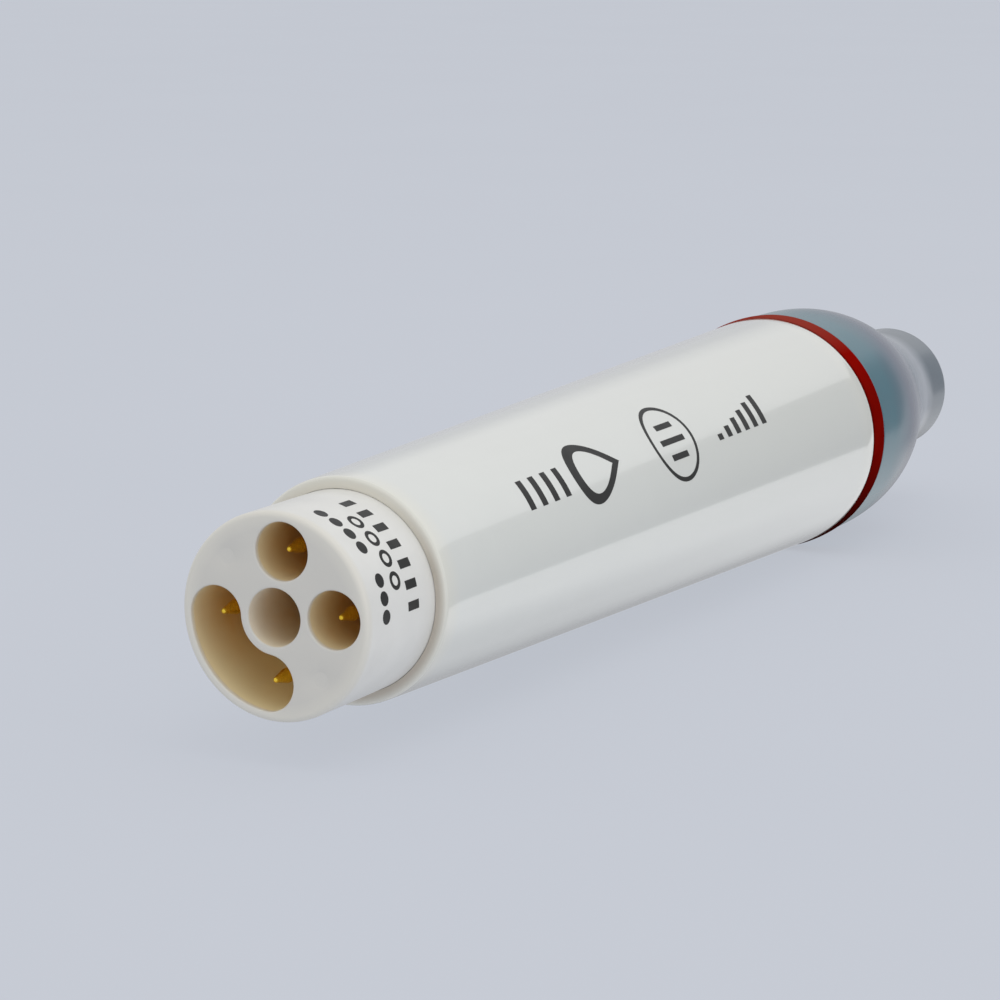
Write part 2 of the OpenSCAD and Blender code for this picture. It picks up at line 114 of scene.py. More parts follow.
# not in the frame: wells and barrel
WELL_R = 1.92 * MM
KIDNEY_HALF_W = 1.88 * MM
WELL_LIP = 0.4 * MM          # white lip at each well's mouth, ahead of the tan lining
LINING = 0.16 * MM
SOCKET_FLOOR = 10.5 * MM     # front face of the barrel's solid part
PIN_TAIL_R = 0.33 * MM
CAVITY_R = 6 * MM            # hollow in the front of the barrel
TUBE_HOLE_R = 1.02 * MM
TUBE_SEAL_R = 1.6 * MM
TUBE_SEAL_Y = 9.5 * MM
GROOVE_Y0 = SHELL_Y0 + 0.05 * MM
GROOVE_Y1 = GROOVE_Y0 + 0.65 * MM
GROOVE_DEPTH = 0.2 * MM
FLANGE_R = 7.34 * MM
FACE_ROUND = 0.4 * MM
MOUTH_ROUND = 0.13 * MM

# shell
SHELL_REAR_R = 7.75 * MM
LIP_IN = 0.03 * MM
LIP_OUT = 0.3 * MM
SHELL_BORE_R = BARREL_R + 0.02 * MM
STEP_Y = 20 * MM             # step in the shell that the barrel's flange rests on
NUT_BORE_R = 7.36 * MM
NUT_END_Y = 25 * MM
TAPER_END_Y = 62 * MM        # where the shell's inner taper meets its front bore
SEAT_R = 8.45 * MM

# cap
CAP_NECK_R = 5.52 * MM
CAP_SLOPE_Y0 = CAP_Y0 + 3.1 * MM
CAP_SLOPE = 21.2 * MM
CAP_SLOPE_SKEW = 1.22        # draws the slope's steepest part towards the neck
CAP_WALL = 1.08 * MM
CAP_BORE_Y0 = 99 * MM        # the cap's bore narrows with its outside from here ...
CAP_BORE_Y1 = 106 * MM       # ... to here

# horn
STACK_R = 5 * MM
BOLT_HOLE_R = 2.02 * MM
BOLT_HOLE_END_Y = 62 * MM
HORN_TIP_R = 2.6 * MM

# ---------------------------------------------------------------- mesh helpers

SAME = 1e-7                  # radii closer than this count as the same


def on_axis(r, y, angle):
    """The point at distance r from the axis, at place y along it."""
    return Vector((r * math.cos(angle), y, r * math.sin(angle)))


def arc(cr, cy, r, a0, a1, n):
    """Points (distance from axis, place along it) of an arc; degrees, 0 away from the axis."""
    points = []
    for i in range(n + 1):
        a = math.radians(a0 + (a1 - a0) * i / n)
        points.append((cr + r * math.cos(a), cy + r * math.sin(a)))
    return points


def steps(a, b, n):
    return [a + (b - a) * i / n for i in range(n + 1)]


def blend(t):
    """S-shaped blend from 1 at t = 0 to 0 at t = 1."""
    return 0.5 + 0.5 * math.cos(math.pi * min(1, max(0, t)))


def finish_mesh(bm, name, sharp_deg=32):
    bmesh.ops.recalc_face_normals(bm, faces=bm.faces)
    mesh = bpy.data.meshes.new(name)
    bm.to_mesh(mesh)
    bm.free()
    mesh.shade_smooth()
    mesh.set_sharp_from_angle(angle=math.radians(sharp_deg))
    piece = bpy.data.objects.new(name, mesh)
    bpy.context.scene.collection.objects.link(piece)
    return piece


def place(piece, body, material, slot, *nodes):
    """Gives a piece its material, its body and the CAD nodes that it stands for."""
    piece.data.materials.append(material)
    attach(piece, body)
    if nodes:
        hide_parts(*nodes)


def second_material(piece, material, inside):
    """Gives the faces for which inside(distance from axis, place along it) a second material."""
    piece.data.materials.append(material)
    for face in piece.data.polygons:
        if inside(math.hypot(face.center.x, face.center.z), face.center.y):
            face.material_index = 1


def ring_rows(bm, rows, closed, sides, warp=None):
    """Quads between rows of points round the axis; a row at radius 0 is one point."""
    loops = []
    for r, y in rows:
        if r < SAME:
            loops.append([bm.verts.new((0, y, 0))])
            continue
        loop = []
        for k in range(sides):
            angle = FULL * k / sides
            radius = r if warp is None else warp(r, y, angle)
            loop.append(bm.verts.new(on_axis(radius, y, angle)))
        loops.append(loop)
    pairs = list(zip(loops, loops[1:]))
    if closed:
        pairs.append((loops[-1], loops[0]))
    for a, b in pairs:
        for k in range(sides):
            m = (k + 1) % sides
            if len(a) == 1:
                bm.faces.new((a[0], b[k], b[m]))
            elif len(b) == 1:
                bm.faces.new((a[k], b[0], a[m]))
            else:
                bm.faces.new((a[k], b[k], b[m], a[m]))
    return loops


def lathe(name, rows, closed=True, sides=192, warp=None):
    """A turned piece. closed joins the last row to the first; an open one ends on the axis."""
    bm = bmesh.new()
    ring_rows(bm, rows, closed, sides, warp)
    return finish_mesh(bm, name)


def thread_warp(y0, y1, major, depth, pitch):
    """Cuts a right-hand thread into the rows whose radius is the thread's major radius."""
    flank = 2.7              # steepness of the thread's flanks
    run_out = 0.7 * pitch    # the thread fades in and out over this length

    def warp(r, y, angle):
        if abs(r - major) > SAME or not y0 <= y <= y1:
            return r
        phase = (y / pitch - angle / FULL) % 1
        groove = min(1, max(0, flank * (0.5 - abs(phase - 0.5))))
        fade = max(0, min(1, (y - y0) / run_out, (y1 - y) / run_out))
        return r - depth * groove * fade
    return warp


# ---------------------------------------------------------------- outlines of the wells


def round_outline(angle, distance, r, n=72):
    """Points and outward normals, in the plane of the face, of a round well."""
    cx, cz = distance * math.cos(angle), distance * math.sin(angle)
    out = []
    for k in range(n):
        a = FULL * k / n
        out.append(((cx + r * math.cos(a), cz + r * math.sin(a)), (math.cos(a), math.sin(a))))
    return out


def kidney_outline(half_w):
    """The same for the kidney-shaped well: outer arc, round end, inner arc, round end."""
    out = []

    def add(cx, cz, r, a0, a1, n, sign=1):
        for i in range(n):
            a = a0 + (a1 - a0) * i / n
            c, s = math.cos(a), math.sin(a)
            out.append(((cx + r * c, cz + r * s), (sign * c, sign * s)))

    def end(angle, a0):
        cx, cz = PITCH_R * math.cos(angle), PITCH_R * math.sin(angle)
        add(cx, cz, half_w, a0, a0 + math.pi, 30)

    add(0, 0, PITCH_R + half_w, KIDNEY_START, KIDNEY_END, 44)
    end(KIDNEY_END, KIDNEY_END)
    add(0, 0, PITCH_R - half_w, KIDNEY_END, KIDNEY_START, 22, -1)
    end(KIDNEY_START, KIDNEY_START + math.pi)
    return out


WELLS = [
    round_outline(UPPER_ANGLE, PITCH_R, WELL_R),
    round_outline(SIDE_ANGLE, PITCH_R, WELL_R),
    kidney_outline(KIDNEY_HALF_W),
]


def outline_loop(bm, outline, grow, y):
    return [bm.verts.new((x + nx * grow, y, z + nz * grow)) for (x, z), (nx, nz) in outline]


def outline_wall(bm, outline, rows):
    """Quads down a well's wall; rows are (growth of the outline, place along the axis)."""
    loops = [outline_loop(bm, outline, grow, y) for grow, y in rows]
    n = len(outline)
    for a, b in zip(loops, loops[1:]):
        for k in range(n):
            m = (k + 1) % n
            bm.faces.new((a[k], a[m], b[m], b[k]))
    return loops


def mouth_rows():
    """Rows of a well's rounded mouth, from the face inwards."""
    return arc(MOUTH_ROUND, MOUTH_ROUND, MOUTH_ROUND, 270, 180, 5)


def blind_rows(y0, corner, n):
    """Rows down a well's wall from y0, then round the corner at its floor."""
    rows = [(0, y) for y in steps(y0, WELL_DEPTH - corner, n)[1:]]
    return rows + arc(-corner, WELL_DEPTH - corner, corner, 0, 90, 5)[1:]


def fill(bm, loops):
    """Fills the flat region between an outer loop and the loops inside it."""
    edges = []
    for loop in loops:
        for k, v in enumerate(loop):
            w = loop[(k + 1) % len(loop)]
            edges.append(bm.edges.get((v, w)) or bm.edges.new((v, w)))
    bmesh.ops.triangle_fill(bm, edges=edges, use_beauty=True, normal=(0, -1, 0))


# ---------------------------------------------------------------- materials

MATERIALS = {}               # every material by name, filled in by Shader
WELL_MOUTH = (0.86, 0.725, 0.46)


class Nodes:
    """A node tree with a few shorthands. A value is a number, a colour or another node's output."""

    def __init__(self, tree):
        self.tree = tree

    def node(self, kind, **settings):
        node = self.tree.nodes.new(kind)
        for key, value in settings.items():
            setattr(node, key, value)
        return node

    def feed(self, value, socket):
        """Sets a socket's number or colour, or links another node's output to it."""
        if isinstance(value, tuple):
            socket.default_value = (*value, 1)
        elif isinstance(value, (int, float)):
            socket.default_value = value
        else:
            self.tree.links.new(value, socket)

    def ramp(self, source, low, high, out_low=0.0, out_high=1.0, **settings):
        """Goes from out_low to out_high while the source goes from low to high."""
        node = self.node("ShaderNodeMapRange", **settings)
        ends = {"From Min": low, "From Max": high, "To Min": out_low, "To Max": out_high}
        for key, value in ends.items():
            self.feed(value, node.inputs[key])
        self.feed(source, node.inputs["Value"])
        return node.outputs["Result"]

    def tint(self, factor, a, b):
        """Mixes two colours by factor."""
        node = self.node("ShaderNodeMix", data_type="RGBA")
        self.feed(factor, node.inputs["Factor"])
        self.feed(a, node.inputs[6])
        self.feed(b, node.inputs[7])
        return node.outputs[2]

    def combine(self, operation, a, b):
        node = self.node("ShaderNodeMath", operation=operation)
        self.feed(a, node.inputs[0])
        self.feed(b, node.inputs[1])
        return node.outputs[0]

    def product(self, a, b):
        return self.combine("MULTIPLY", a, b)


class Shader(Nodes):
    """A node material with its Principled shader."""

    def __init__(self, name, base, roughness, **constants):
        material = MATERIALS[name] = bpy.data.materials.new(name)
        material.use_nodes = True
        material.diffuse_color = (*base, 1)
        super().__init__(material.node_tree)
        self.bsdf = self.tree.nodes["Principled BSDF"]
        self.feed(base, self.bsdf.inputs["Base Color"])
        self.feed(roughness, self.bsdf.inputs["Roughness"])
        for key, value in constants.items():
            self.feed(value, self.bsdf.inputs[key.replace("_", " ")])
        self.coordinates = self.node("ShaderNodeTexCoord").outputs["Object"]

    def noise(self, size_mm, detail, stretch=(1, 1, 1)):
        """Noise whose features are size_mm across, times stretch along each axis."""
        mapping = self.node("ShaderNodeMapping")
        mapping.inputs["Scale"].default_value = [1 / (size_mm * MM * s) for s in stretch]
        texture = self.node("ShaderNodeTexNoise")
        self.feed(1, texture.inputs["Scale"])
        self.feed(detail, texture.inputs["Detail"])
        self.feed(self.coordinates, mapping.inputs["Vector"])
        self.feed(mapping.outputs["Vector"], texture.inputs["Vector"])
        return texture.outputs["Fac"]

    def base(self, colour):
        self.feed(colour, self.bsdf.inputs["Base Color"])

    def roughness(self, source, low, high):
        self.feed(self.ramp(source, 0.3, 0.7, low, high), self.bsdf.inputs["Roughness"])

    def bump(self, source, height_mm):
        node = self.node("ShaderNodeBump")
        self.feed(1.0, node.inputs["Strength"])
        self.feed(height_mm * MM, node.inputs["Distance"])
        self.feed(source, node.inputs["Height"])
        self.feed(node.outputs["Normal"], self.bsdf.inputs["Normal"])

    def coordinate(self, axis):
        node = self.node("ShaderNodeSeparateXYZ")
        self.feed(self.coordinates, node.inputs["Vector"])
        return node.outputs[axis]

    def along(self):
        """Place along the handpiece's axis, in metres."""
        return self.coordinate("Y")

    def height(self):
        """Height above the handpiece's axis, in metres."""
        return self.coordinate("Z")

    def radial(self):
        """Distance from the handpiece's axis, in metres."""
        flat = self.node("ShaderNodeVectorMath", operation="MULTIPLY")
        flat.inputs[1].default_value = (1, 0, 1)
        self.feed(self.coordinates, flat.inputs[0])
        length = self.node("ShaderNodeVectorMath", operation="LENGTH")
        self.feed(flat.outputs["Vector"], length.inputs[0])
        return length.outputs["Value"]


def moulded(name, light, dark, roughness, spread=0.05, grain_mm=0.35, depth_mm=0.002,
            mottle=(6, 4), plain=None, **constants):
    """Moulded plastic or silicone: faint mottling, fine surface texture, uneven gloss.

    plain is its colour in an export with nothing baked, if that isn't light.
    """
    s = Shader(name, plain or light, roughness, **constants)
    s.mottled = s.tint(s.ramp(s.noise(*mottle), 0.35, 0.65), light, dark)
    s.base(s.mottled)
    s.roughness(s.noise(1.7, 5), roughness - spread / 2, roughness + spread)
    s.bump(s.noise(grain_mm, 2), depth_mm)
    return s


def turned(name, light, dark, roughness, groove_mm=0.12, depth_mm=0.002):
    """Turned metal: fine grooves round the axis, streaks and uneven gloss."""
    s = Shader(name, light, roughness, Metallic=1.0)
    grooves = s.noise(groove_mm, 2, (40, 1, 40))
    s.base(s.tint(s.ramp(s.noise(1.5, 4), 0.3, 0.7), light, dark))
    s.roughness(grooves, roughness - 0.06, roughness + 0.1)
    s.bump(grooves, depth_mm)


def white_shell_material():
    """Glossy white shell, a little darker towards the nose as painted shade, where less light
    falls, and creamier at its two ends.
    """
    s = moulded("white_shell", (0.76, 0.775, 0.745), (0.745, 0.76, 0.73), 0.14, spread=0.04,
                grain_mm=2.4, depth_mm=0.0008, Coat_Weight=0.8, Coat_Roughness=0.03, IOR=1.5)
    # painted shade: the shell's colour darkens from its rear towards the nose
    length = s.ramp(s.along(), SHELL_Y0, SHELL_Y1)
    body = s.tint(length, s.mottled, (0.71, 0.72, 0.685))
    front = s.ramp(s.along(), SHELL_Y1 - 3 * MM, SHELL_Y1, 0, 0.5)
    body = s.tint(front, body, (0.76, 0.745, 0.67))
    rear = s.ramp(s.along(), SHELL_Y0, SHELL_Y0 + 2 * MM, 0.8, 0)
    s.base(s.tint(rear, body, (0.80, 0.785, 0.70)))


def shell_lip_material():
    """The shell's rear rim: darker and creamier than the rest, as painted shade on this rear-facing
    rim, and paler at its top and outer edge, as painted light.
    """
    # painted shade: the rim's base colours are darker and creamier than the shell's white
    s = moulded("shell_lip", (0.63, 0.57, 0.49), (0.59, 0.54, 0.46), 0.42, spread=0.08,
                grain_mm=0.25, depth_mm=0.004, mottle=(3, 3), plain=(0.67, 0.61, 0.53))
    # painted light: the rim grows paler towards its top
    upper = s.ramp(s.height(), 2 * MM, 6.5 * MM)
    body = s.tint(upper, s.mottled, (0.80, 0.77, 0.68))
    # painted light: the rim grows paler towards its outer edge, leaving painted shade at its inner
    # edge
    rim = s.ramp(s.radial(), BARREL_R + 0.3 * MM, SHELL_REAR_R - 0.1 * MM)
    s.base(s.tint(rim, body, (0.80, 0.785, 0.71)))


def white_socket_material():
    """White barrel: greyer on its face, which is painted shade, giving way to cream round the
    face's rim, and creamier inside the wells.
    """
    s = moulded("white_socket", (0.80, 0.795, 0.765), (0.77, 0.765, 0.735), 0.32, spread=0.06,
                grain_mm=0.3, depth_mm=0.002, mottle=(2.5, 4), plain=(0.82, 0.82, 0.80),
                IOR=1.5)
    # painted shade: the face, which gets less light than the barrel's sides, is painted greyer
    face = s.ramp(s.along(), 0, 0.7 * MM, 1, 0)
    body = s.tint(face, s.mottled, (0.715, 0.695, 0.645))
    # round the face's rounded rim the painted shade gives way to a paler cream
    rim = s.ramp(s.radial(), BARREL_R - 1.2 * MM, BARREL_R - 0.1 * MM)
    body = s.tint(s.product(rim, face), body, (0.80, 0.775, 0.70))
    inside = s.ramp(s.radial(), BARREL_R - 0.52 * MM, BARREL_R - 0.4 * MM, 1, 0)
    mouth = s.ramp(s.along(), 0.06 * MM, 0.5 * MM, 0, 0.9)
    s.base(s.tint(s.product(inside, mouth), body, WELL_MOUTH))


def lining_material(name, mouth, deep, roughness):
    """Plastic inside the wells: paler at the mouth and darker with depth, which is painted shade,
    and paler low down, as painted light where more light falls.
    """
    s = moulded(name, deep, deep, roughness, spread=0.08, grain_mm=0.25, depth_mm=0.003)
    # painted shade: the lining darkens from the mouth colour to the deep colour with depth
    depth = s.ramp(s.along(), 0.2 * MM, 4.5 * MM)
    mottle = s.ramp(s.noise(1.2, 3), 0.3, 0.7, 0, 0.25)
    body = s.tint(mottle, s.tint(depth, mouth, deep), mouth)
    # painted light: the lining is paler low down, where more light falls
    lower = s.ramp(s.height(), -4.5 * MM, -1 * MM, 0.9, 0)
    s.base(s.tint(lower, body, (0.96, 0.84, 0.52)))


def red_seal_material():
    """Dark red silicone, with painted light on its upper part, a painted highlight at its top and
    painted shade, almost black, on its underside.
    """
    s = moulded("red_seal", (0.19, 0.003, 0.001), (0.165, 0.002, 0.001), 0.34, spread=0.06,
                grain_mm=0.5, depth_mm=0.001, mottle=(2, 3), Specular_IOR_Level=0.0)
    # painted light: the ring is a brighter red above mid-height
    upper = s.ramp(s.height(), 0.4 * RING_R, 0.65 * RING_R)
    body = s.tint(upper, s.mottled, (0.25, 0.003, 0.001))
    # painted highlight: a pale brownish red towards the top
    top = s.ramp(s.height(), 0.72 * RING_R, RING_R)
    body = s.tint(top, body, (0.295, 0.046, 0.032))
    # painted shade: the ring darkens to almost black on its underside
    lower = s.ramp(s.height(), -0.7 * RING_R, -0.1 * RING_R)
    s.base(s.tint(lower, (0.035, 0.002, 0.001), body))


def cap_material():
    """Satin cap: teal near the ring, lilac-grey on its slope, paler along its neck, which is a
    painted highlight.
    """
    s = Shader("blue_grey_cap", (0.08, 0.14, 0.18), 0.2, IOR=1.5)
    along = s.along()
    slope = s.ramp(along, CAP_Y0 + 3 * MM, CAP_Y0 + 8 * MM)
    body = s.tint(slope, (0.078, 0.18, 0.225), (0.12, 0.135, 0.185))
    # painted highlight: a pale band along the neck
    neck = s.ramp(along, CAP_Y0 + 10.5 * MM, CAP_Y0 + 16 * MM)
    body = s.tint(neck, body, (0.36, 0.385, 0.43))
    end = s.ramp(along, CAP_Y0 + 22 * MM, CAP_Y0 + 24.5 * MM)
    body = s.tint(end, body, (0.185, 0.21, 0.24))
    mottle = s.ramp(s.noise(4, 4), 0.3, 0.7, 0.0, 0.25)
    s.base(s.tint(mottle, body, (0.12, 0.165, 0.20)))
    s.roughness(s.noise(3, 3), 0.18, 0.22)


def clear_material():
    """Clear moulded plastic with faint ripples."""
    s = Shader("clear_pipe", (0.93, 0.95, 0.95), 0.06, IOR=1.58, Transmission_Weight=0.9)
    s.roughness(s.noise(1.2, 4), 0.05, 0.12)
    s.bump(s.noise(0.8, 2), 0.001)


def floor_material():
    """Pale table, softly lit from below, so that shadows on it stay light."""
    pale, paler = (0.14, 0.147, 0.166), (0.145, 0.152, 0.171)
    s = Shader("floor", pale, 0.6, Specular_IOR_Level=0.0, Emission_Strength=0.475,
               Emission_Color=(0.93, 0.975, 1.07))
    s.base(s.tint(s.ramp(s.noise(60, 3), 0.3, 0.7), pale, paler))


white_shell_material()
shell_lip_material()
white_socket_material()
lining_material("tan_plastic", WELL_MOUTH, (0.76, 0.455, 0.14), 0.34)
lining_material("bore_wall", (0.88, 0.80, 0.66), (0.76, 0.52, 0.26), 0.38)
red_seal_material()
cap_material()
clear_material()
floor_material()
turned("gold_contact", (0.92, 0.66, 0.08), (0.82, 0.54, 0.04), 0.22, groove_mm=0.08,
       depth_mm=0.001)
turned("steel", (0.58, 0.58, 0.59), (0.48, 0.48, 0.49), 0.3)
turned("neck_steel", (0.66, 0.66, 0.67), (0.56, 0.56, 0.57), 0.24)
turned("copper", (0.78, 0.42, 0.25), (0.66, 0.32, 0.18), 0.28)
turned("titanium", (0.50, 0.485, 0.46), (0.42, 0.41, 0.39), 0.27)
moulded("circuit_board", (0.02, 0.16, 0.07), (0.015, 0.11, 0.05), 0.35, spread=0.08,
        grain_mm=0.4, depth_mm=0.004)
moulded("black_rubber", (0.02, 0.02, 0.021), (0.03, 0.03, 0.03), 0.5)
moulded("grey_silicone", (0.36, 0.37, 0.38), (0.3, 0.31, 0.32), 0.5)
moulded("white_silicone", (0.75, 0.75, 0.74), (0.7, 0.7, 0.69), 0.45)
moulded("insulation", (0.72, 0.58, 0.28), (0.66, 0.5, 0.22), 0.35)
moulded("red_wire", (0.5, 0.02, 0.02), (0.4, 0.015, 0.015), 0.4)
moulded("blue_wire", (0.03, 0.09, 0.42), (0.02, 0.07, 0.33), 0.4)
moulded("lamp_yellow", (0.85, 0.72, 0.22), (0.8, 0.64, 0.18), 0.25)
moulded("ceramic", (0.50, 0.45, 0.34), (0.42, 0.37, 0.27), 0.5, spread=0.1,
        grain_mm=0.08, depth_mm=0.004)
moulded("ink", (0.018, 0.018, 0.0175), (0.03, 0.03, 0.029), 0.38, spread=0.1,
        grain_mm=0.12, depth_mm=0.002, Specular_IOR_Level=0.28)

# every CAD node takes the material of its slot
for part in frame["record"]["subparts"]:
    mesh = frame["nodes"][part["node"]].data
    mesh.materials.clear()
    mesh.materials.append(MATERIALS[part["material_slot"]])
    mesh.shade_smooth()

# ---------------------------------------------------------------- shell


def shell_r(y):
    """Outer radius of the shell."""
    return SHELL_REAR_R + (SHELL_R - SHELL_REAR_R) * (y - SHELL_Y0) / (SHELL_Y1 - SHELL_Y0)


def on_lip(r, y):
    """Whether a place on the shell belongs to its rear rim."""
    return y < SHELL_Y0 + LIP_OUT and r < SHELL_REAR_R - 0.25 * LIP_OUT


def build_shell():
    edge = 0.25 * MM
    rows = arc(SHELL_BORE_R + LIP_IN, SHELL_Y0 + LIP_IN, LIP_IN, 180, 270, 4)
    rows += arc(SHELL_REAR_R - LIP_OUT, SHELL_Y0 + LIP_OUT, LIP_OUT, 270, 360, 10)
    rows += [(shell_r(y), y) for y in steps(SHELL_Y0 + LIP_OUT, SHELL_Y1 - edge, 60)[1:-1]]
    rows += arc(SHELL_R - edge, SHELL_Y1 - edge, edge, 0, 90, 6)
    rows += [(SEAT_R, SHELL_Y1), (SEAT_R, TAPER_END_Y), (NUT_BORE_R, NUT_END_Y)]
    rows += [(NUT_BORE_R, STEP_Y), (SHELL_BORE_R, STEP_Y)]
    shell = lathe("shell", rows, sides=256)
    place(shell, "handle", MATERIALS["white_shell"], "white_shell", "handle_shell")
    second_material(shell, MATERIALS["shell_lip"], on_lip)


build_shell()

# ---------------------------------------------------------------- connector barrel


def barrel_rows():
    """Outside of the barrel, from the rim of its face to the hollow in its front end."""
    groove_r = BARREL_R - GROOVE_DEPTH
    rows = arc(BARREL_R - FACE_ROUND, FACE_ROUND, FACE_ROUND, 270, 360, 8)
    rows += [(BARREL_R, GROOVE_Y0), (groove_r, GROOVE_Y0), (groove_r, GROOVE_Y1)]
    rows += [(BARREL_R, GROOVE_Y1), (BARREL_R, STEP_Y), (FLANGE_R, STEP_Y)]
    rows += [(FLANGE_R, INSERT_Y1), (CAVITY_R, INSERT_Y1), (CAVITY_R, SOCKET_FLOOR)]
    return rows


def water_bore_rows():
    """Wall of the water bore, its floor and the narrower holes for the tube and its seal."""
    tube, seal = TUBE_HOLE_R - BORE_R, TUBE_SEAL_R - BORE_R
    rows = mouth_rows() + blind_rows(MOUTH_ROUND, 0.3 * MM, 4)
    rows += [(tube, WELL_DEPTH), (tube, TUBE_SEAL_Y)]
    rows += [(seal, TUBE_SEAL_Y), (seal, SOCKET_FLOOR)]
    return rows


def add_ejector_marks(bm):
    """Two shallow round marks on the face; gives back the loops round them."""
    rows = [(0.06 * MM, 0), (0, 0.025 * MM), (-0.05 * MM, 0.03 * MM)]
    loops = []
    for angle in (KEY_ANGLE + FULL / 4, KEY_ANGLE - FULL / 4):
        wall = outline_wall(bm, round_outline(angle, 5.05 * MM, 0.55 * MM, 40), rows)
        bm.faces.new(wall[-1])
        loops.append(wall[0])
    return loops


def in_water_bore(r, y):
    """Whether a place on the barrel belongs to the wall of its water bore."""
    return r < BORE_R + 0.03 * MM and y > 0.1 * MM


def build_socket():
    bm = bmesh.new()
    loops = ring_rows(bm, barrel_rows(), False, 192)
    face, back = [loops[0]], [loops[-1]]
    well_rows = mouth_rows() + [(0, WELL_LIP), (LINING, WELL_LIP), (LINING, SOCKET_FLOOR)]
    holes = [(outline, well_rows) for outline in WELLS]
    holes.append((round_outline(0, 0, BORE_R), water_bore_rows()))
    for outline, rows in holes:
        wall = outline_wall(bm, outline, rows)
        face.append(wall[0])
        back.append(wall[-1])
    fill(bm, face + add_ejector_marks(bm))
    fill(bm, back)
    barrel = finish_mesh(bm, "socket_barrel", 25)
    place(barrel, "handle", MATERIALS["white_socket"], "white_socket", "socket_insert")
    second_material(barrel, MATERIALS["bore_wall"], in_water_bore)


def build_linings():
    """The tan cups that line the wells, and the disc behind them."""
    bm = bmesh.new()
    top = WELL_LIP + 0.02 * MM
    outside = LINING - 0.01 * MM
    rows = [(outside, SOCKET_FLOOR), (outside, top), (0, top)] + blind_rows(top, 0.35 * MM, 5)
    for outline in WELLS:
        wall = outline_wall(bm, outline, rows)
        fill(bm, [wall[0]])
        fill(bm, [wall[-1]])
    disc_end = SOCKET_FLOOR + 1.5 * MM
    rim = CAVITY_R - 0.02 * MM
    disc = [(TUBE_HOLE_R, SOCKET_FLOOR), (rim, SOCKET_FLOOR)]
    disc += [(rim, disc_end), (TUBE_HOLE_R, disc_end)]
    ring_rows(bm, disc, True, 128)
    linings = finish_mesh(bm, "well_linings")
    place(linings, "handle", MATERIALS["tan_plastic"], "tan_plastic", "pin_carrier")


def build_pin(node):
    """A gold contact: round tip, cone, shank and the thinner tail behind the well's floor."""
    low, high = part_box(node)
    x, z = pin_centre(node)
    tip_r, nose = 0.2 * MM, 1.5 * MM
    rows = [(0, low.y)] + arc(0, low.y + tip_r, tip_r, 270, 360, 8)[1:]
    for length_share, radius_share in ((0.84, 0.9), (0.94, 0.98), (1, 1)):
        rows.append((PIN_R * radius_share, low.y + nose * length_share))
    rows += [(PIN_R, WELL_DEPTH), (PIN_TAIL_R, WELL_DEPTH), (PIN_TAIL_R, high.y), (0, high.y)]
    pin = lathe(node.replace("pin", "contact"), rows, closed=False, sides=48)
    for vertex in pin.data.vertices:
        vertex.co += Vector((x, 0, z))
    place(pin, "handle", MATERIALS["gold_contact"], "gold_contact", node)


build_socket()
build_linings()
for pin_node in ("drive_pin_upper", "drive_pin_side", "lamp_pin_side", "lamp_pin_lower"):
    build_pin(pin_node)

# ---------------------------------------------------------------- ring, cap and neck


def build_ring():
    """The red ring: a slightly bulged band with a spigot that centres it in the cap."""
    bulge, edge = 0.03 * MM, 0.12 * MM
    land, spigot = 7.68 * MM, 8.25 * MM
    flange_end = CAP_Y0 - 0.05 * MM
    shoulder = RING_R - edge - bulge
    rows = [(land, RING_Y0)] + arc(shoulder, RING_Y0 + edge, edge, 270, 350, 6)
    for t in steps(0, 1, 8)[1:-1]:
        y = RING_Y0 + edge + (flange_end - RING_Y0 - 2 * edge) * t
        rows.append((RING_R - bulge * (2 * t - 1) ** 2, y))
    rows += arc(shoulder, flange_end - edge, edge, 10, 90, 6)
    rows += [(spigot, flange_end), (spigot, RING_Y1), (land, RING_Y1)]
    ring = lathe("red_ring", rows, sides=256)
    place(ring, "ring_carrier", MATERIALS["red_seal"], "red_seal", "seal_ring")


def cap_r(y):
    """Outer radius of the cap: an S-shaped slope between its wide end and its neck."""
    share = min(1, max(0, (y - CAP_SLOPE_Y0) / CAP_SLOPE))
    return CAP_NECK_R + (CAP_R - CAP_NECK_R) * blend(share ** CAP_SLOPE_SKEW)


def build_cap():
    edge, end_round, mouth_round = 0.22 * MM, 0.75 * MM, 0.3 * MM
    mouth = CAP_NECK_R - CAP_WALL
    groove = mouth + 0.52 * MM
    pocket, pocket_end = 8.33 * MM, CAP_Y0 + 1.2 * MM
    room, thread = 6.6 * MM, 7.5 * MM
    rows = [(pocket, CAP_Y0)] + arc(CAP_R - edge, CAP_Y0 + edge, edge, 270, 360, 6)
    rows += [(cap_r(y), y) for y in steps(CAP_Y0 + edge, CAP_Y1 - end_round, 144)[1:]]
    rows += arc(cap_r(CAP_Y1) - end_round, CAP_Y1 - end_round, end_round, 8, 90, 12)
    rows += arc(mouth + mouth_round, CAP_Y1 - mouth_round, mouth_round, 90, 180, 5)
    rows += [(mouth, NOSE_SEAL_Y1), (groove, NOSE_SEAL_Y1)]
    rows += [(groove, NOSE_SEAL_Y0), (mouth, NOSE_SEAL_Y0)]
    rows += [(min(cap_r(y) - CAP_WALL, room), y) for y in steps(CAP_BORE_Y1, CAP_BORE_Y0, 10)]
    rows += [(room, NECK_Y1 + 1.5 * MM), (thread, NECK_Y1 + 0.6 * MM)]
    rows += [(thread, pocket_end), (pocket, pocket_end)]
    cap = lathe("nose_cone", rows, sides=256)
    place(cap, "cap", MATERIALS["blue_grey_cap"], "blue_grey_cap", "nose_cap")


